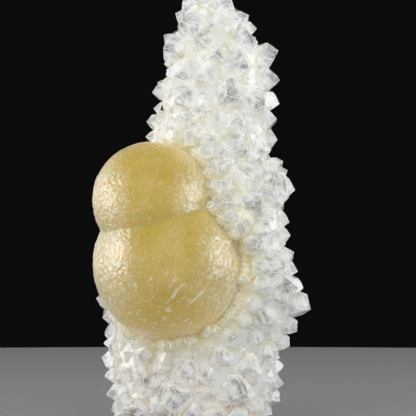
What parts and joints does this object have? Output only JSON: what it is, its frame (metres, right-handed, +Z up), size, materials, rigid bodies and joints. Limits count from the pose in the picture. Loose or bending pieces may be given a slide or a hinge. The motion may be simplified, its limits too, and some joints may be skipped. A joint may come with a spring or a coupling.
{
  "type": "botryoidal fluorite on a quartz column",
  "caption": "Mineral specimen: a yellow, rounded, grape-like fluorite grown on the side of an upright column crusted with clear and milky quartz crystals.",
  "frame": {"origin": "under the middle of the object's box, on the flat broken foot that it stands on", "axes": "+Z up along the column, -Y out of the side on which the fluorite sits"},
  "size_m": [0.0432, 0.041, 0.0871],
  "materials": {
    "fluorite": "waxy, translucent, finely pebbled",
    "quartz": "glassy, clear at the crystal tips and milky below them"
  },
  "bodies": {
    "root": {"fluorite": "fluorite", "quartz": "quartz"}
  },
  "joints": []
}
